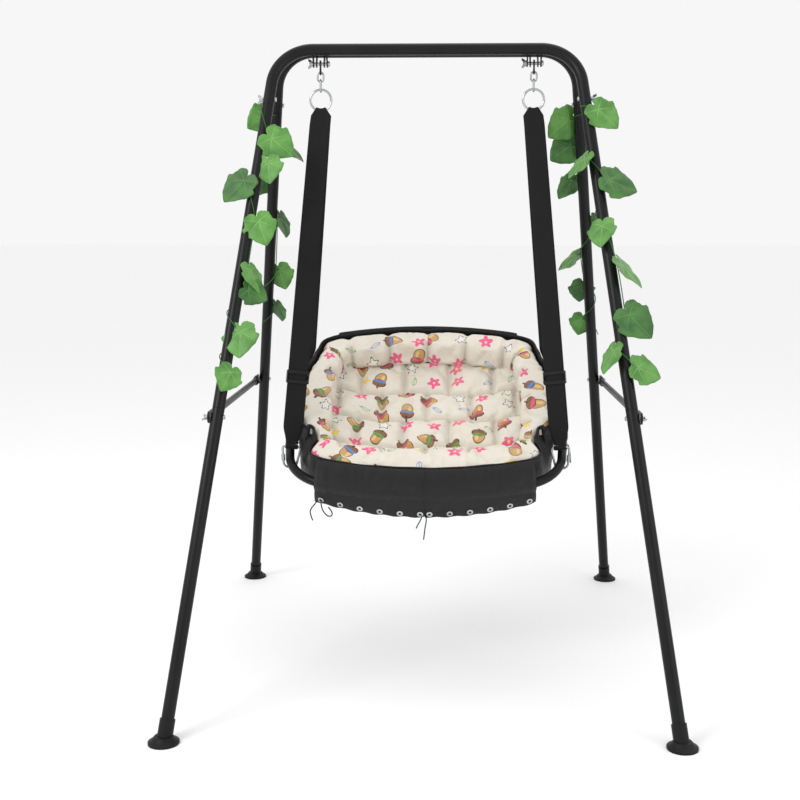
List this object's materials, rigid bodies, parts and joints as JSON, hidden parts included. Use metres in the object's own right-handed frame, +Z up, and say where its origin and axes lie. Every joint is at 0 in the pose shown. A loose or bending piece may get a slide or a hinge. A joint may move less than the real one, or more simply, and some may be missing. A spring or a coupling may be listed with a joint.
{
  "type": "baby swing",
  "caption": "Padded nest swing seat hung on webbing, rings and chain from a folding black steel A-frame with ivy on its legs.",
  "frame": {"origin": "on the floor, midway between the four feet", "axes": "+Z up, -Y towards the front that the seat faces, +X to the right as seen from the front"},
  "size_m": [1.18, 1.302, 1.55],
  "materials": {
    "frame_black": "satin black powder coat",
    "foot_rubber": "matt",
    "zinc_steel": "zinc plated",
    "chrome_steel": "bright plated",
    "eye_black": "gloss black",
    "webbing_black": "woven webbing",
    "slider_black": "gloss",
    "apron_black": "soft sheen woven nylon",
    "cushion_print": "printed cotton",
    "lace_black": "round braided lace",
    "ivy_green": "soft leaves on wire"
  },
  "bodies": {
    "front_frame": {"front_arch": "frame_black", "front_ears": "frame_black", "front_bolts": "zinc_steel", "front_wing_nuts": "zinc_steel", "hanger_bolts": "zinc_steel", "hanger_nuts": "zinc_steel", "front_upper_leg_left": "frame_black", "front_upper_leg_right": "frame_black", "front_lower_leg_left": "frame_black", "front_lower_leg_right": "frame_black", "front_foot_left": "foot_rubber", "front_foot_right": "foot_rubber", "ivy_front_left": "ivy_green", "ivy_front_right": "ivy_green"},
    "rear_frame": {"rear_arch": "frame_black", "rear_ears": "frame_black", "rear_bolts": "zinc_steel", "rear_wing_nuts": "zinc_steel", "rear_upper_leg_left": "frame_black", "rear_upper_leg_right": "frame_black", "rear_lower_leg_left": "frame_black", "rear_lower_leg_right": "frame_black", "rear_foot_left": "foot_rubber", "rear_foot_right": "foot_rubber", "ivy_rear_left": "ivy_green", "ivy_rear_right": "ivy_green"},
    "brace_left": {"brace_left": "frame_black"},
    "brace_right": {"brace_right": "frame_black"},
    "hanger_left": {"hanger_eye_left": "eye_black", "hanger_chain_left": "zinc_steel", "hanger_ring_left": "chrome_steel"},
    "hanger_right": {"hanger_eye_right": "eye_black", "hanger_chain_right": "zinc_steel", "hanger_ring_right": "chrome_steel"},
    "seat": {"strap_left": "webbing_black", "strap_right": "webbing_black", "quick_links": "zinc_steel", "seat_hoop": "frame_black", "shell_tray": "apron_black", "apron_front_left": "apron_black", "apron_front_right": "apron_black", "apron_back": "apron_black", "apron_left": "apron_black", "apron_right": "apron_black", "seat_pad": "cushion_print", "seat_bolster": "cushion_print", "eyelets": "chrome_steel", "lacing": "lace_black", "lace_tail_left": "lace_black", "lace_loop_left": "lace_black", "lace_tail_middle_short": "lace_black", "lace_tail_middle_long": "lace_black", "lace_tail_right_short": "lace_black", "lace_tail_right_long": "lace_black"},
    "slider_left": {"strap_slider_left": "slider_black"},
    "slider_right": {"strap_slider_right": "slider_black"},
    "sleeve_front_left": {"link_sleeve_front_left": "zinc_steel"},
    "sleeve_front_right": {"link_sleeve_front_right": "zinc_steel"},
    "sleeve_rear_left": {"link_sleeve_rear_left": "zinc_steel"},
    "sleeve_rear_right": {"link_sleeve_rear_right": "zinc_steel"}
  },
  "joints": [
    {"name": "frame_fold", "type": "hinge", "parent": "front_frame", "child": "rear_frame", "pos_m": [0, 0, 1.504], "axis": [-1, 0, 0], "range_deg": [0, 40]},
    {"name": "brace_left_fold", "type": "hinge", "parent": "front_frame", "child": "brace_left", "pos_m": [0, -0.35613, 0.66992], "axis": [1, 0, 0], "range_deg": [0, 52]},
    {"name": "brace_right_fold", "type": "hinge", "parent": "front_frame", "child": "brace_right", "pos_m": [0, -0.35613, 0.66992], "axis": [1, 0, 0], "range_deg": [0, 52]},
    {"name": "swing", "type": "hinge", "parent": "front_frame", "child": "hanger_left", "pos_m": [0, 0, 1.504], "axis": [1, 0, 0], "range_deg": [-30, 30]},
    {"name": "swing_right", "type": "hinge", "parent": "front_frame", "child": "hanger_right", "pos_m": [0, 0, 1.504], "axis": [1, 0, 0], "range_deg": [-30, 30]},
    {"name": "seat_rock", "type": "hinge", "parent": "hanger_left", "child": "seat", "pos_m": [0, 0, 1.3899], "axis": [1, 0, 0], "range_deg": [-12, 12]},
    {"name": "slider_left_slide", "type": "slide", "parent": "seat", "child": "slider_left", "axis": [0.0784, 0.1803, 0.9805], "range_m": [-0.04, 0.04]},
    {"name": "slider_right_slide", "type": "slide", "parent": "seat", "child": "slider_right", "axis": [-0.0784, 0.1803, 0.9805], "range_m": [-0.04, 0.04]},
    {"name": "sleeve_front_left_slide", "type": "slide", "parent": "seat", "child": "sleeve_front_left", "axis": [-0.0802, 0.1252, 0.9889], "range_m": [0, 0.009]},
    {"name": "sleeve_front_right_slide", "type": "slide", "parent": "seat", "child": "sleeve_front_right", "axis": [0.0802, 0.1252, 0.9889], "range_m": [0, 0.009]},
    {"name": "sleeve_rear_left_slide", "type": "slide", "parent": "seat", "child": "sleeve_rear_left", "axis": [-0.0679, -0.1993, 0.9776], "range_m": [0, 0.009]},
    {"name": "sleeve_rear_right_slide", "type": "slide", "parent": "seat", "child": "sleeve_rear_right", "axis": [0.0679, -0.1993, 0.9776], "range_m": [0, 0.009]}
  ],
  "couplings": [
    {"joint": "brace_left_fold", "follows": "frame_fold", "ratio": 1.29},
    {"joint": "brace_right_fold", "follows": "frame_fold", "ratio": 1.29},
    {"joint": "swing_right", "follows": "swing", "ratio": 1}
  ]
}
